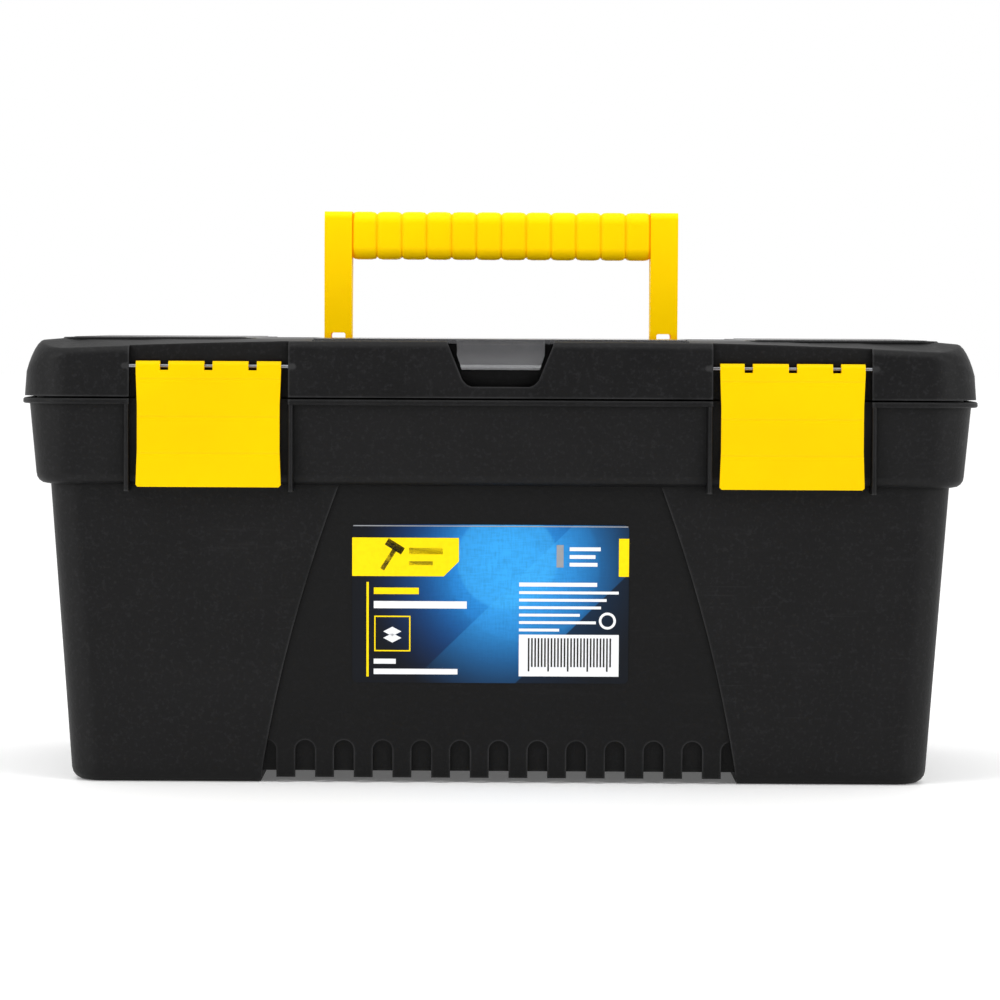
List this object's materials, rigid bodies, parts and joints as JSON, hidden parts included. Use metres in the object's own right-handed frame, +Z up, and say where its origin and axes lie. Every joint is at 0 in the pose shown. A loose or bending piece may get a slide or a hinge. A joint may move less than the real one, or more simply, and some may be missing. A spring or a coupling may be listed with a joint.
{
  "type": "toolbox with tray",
  "caption": "Plastic hand-carried toolbox with lift-out tray, hinged lid holding a small-parts organizer, folding carry handle and flip latches.",
  "frame": {"origin": "middle of the footprint, on the table that the closed box stands on", "axes": "+Z up, the front with the latches faces -Y, +X to the right seen from the front"},
  "size_m": [0.38, 0.2, 0.23],
  "materials": {
    "shell": "fine-grained matte",
    "tray": "fine-grained matte",
    "accent": "satin",
    "clear_cover": "clear tinted plastic",
    "pins": "bright drawn",
    "label": "printed film"
  },
  "bodies": {
    "box": {"tub": "shell", "label": "label", "hinge_pin_left": "pins", "hinge_pin_right": "pins"},
    "lid": {"lid": "shell", "latch_pin_left": "pins", "latch_pin_right": "pins"},
    "left_latch": {"latch_left": "accent"},
    "right_latch": {"latch_right": "accent"},
    "cover": {"organizer_cover": "clear_cover"},
    "handle": {"carry_handle": "accent"},
    "tray": {"tray": "tray"}
  },
  "joints": [
    {"name": "lid_hinge", "type": "hinge", "parent": "box", "child": "lid", "pos_m": [0, 0.0971, 0.1503], "axis": [-1, 0, 0], "range_deg": [0, 105]},
    {"name": "left_latch_hinge", "type": "hinge", "parent": "lid", "child": "left_latch", "pos_m": [-0.115, -0.098, 0.1664], "axis": [-1, 0, 0], "range_deg": [0, 130]},
    {"name": "right_latch_hinge", "type": "hinge", "parent": "lid", "child": "right_latch", "pos_m": [0.115, -0.098, 0.1664], "axis": [-1, 0, 0], "range_deg": [0, 130]},
    {"name": "cover_hinge", "type": "hinge", "parent": "lid", "child": "cover", "pos_m": [0, -0.014, 0.1736], "axis": [-1, 0, 0], "range_deg": [0, 85]},
    {"name": "handle_fold", "type": "hinge", "parent": "lid", "child": "handle", "pos_m": [0, 0.002, 0.171], "axis": [-1, 0, 0], "range_deg": [0, 90]},
    {"name": "tray_lift", "type": "slide", "parent": "box", "child": "tray", "axis": [0, 0, 1], "range_m": [0, 0.004]}
  ]
}
